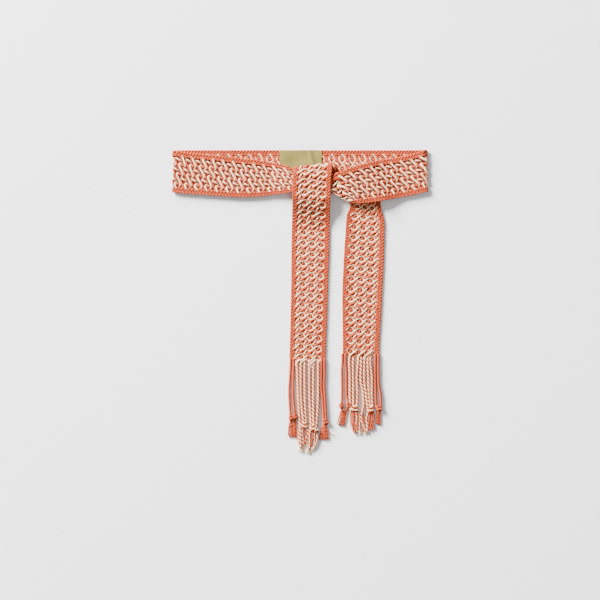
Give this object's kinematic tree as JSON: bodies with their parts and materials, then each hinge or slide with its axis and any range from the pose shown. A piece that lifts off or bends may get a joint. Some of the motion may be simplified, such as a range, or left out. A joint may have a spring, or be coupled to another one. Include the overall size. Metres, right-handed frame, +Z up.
{
  "type": "woven tie belt",
  "caption": "Hand-woven openwork tie belt with plaited borders, knotted in front and laid flat, with a sewn label and corded fringes on both tails.",
  "frame": {"origin": "centre of the bottom of the belt's bounding box, on the surface it lies on", "axes": "+Y from the fringes up towards the waist loop, the longest way; +Z straight up out of the surface it lies on, the thinnest way; +X to the right as seen from above"},
  "size_m": [0.3712, 0.44, 0.0157],
  "materials": {
    "openwork_cloth": "matte cream and coral openwork",
    "coral_braid": "matte plaited coral yarn",
    "striped_cord": "matte twisted cream and coral yarn",
    "label_satin": "soft satin, olive gold"
  },
  "bodies": {
    "root": {"band_centre": "openwork_cloth", "braid_upper": "coral_braid", "braid_lower": "coral_braid", "sewn_label": "label_satin", "fringe_left_ropes": "striped_cord", "fringe_left_outer": "coral_braid", "fringe_left_inner": "coral_braid", "fringe_right_ropes": "striped_cord", "fringe_right_outer": "coral_braid", "fringe_right_inner": "coral_braid"}
  },
  "joints": []
}
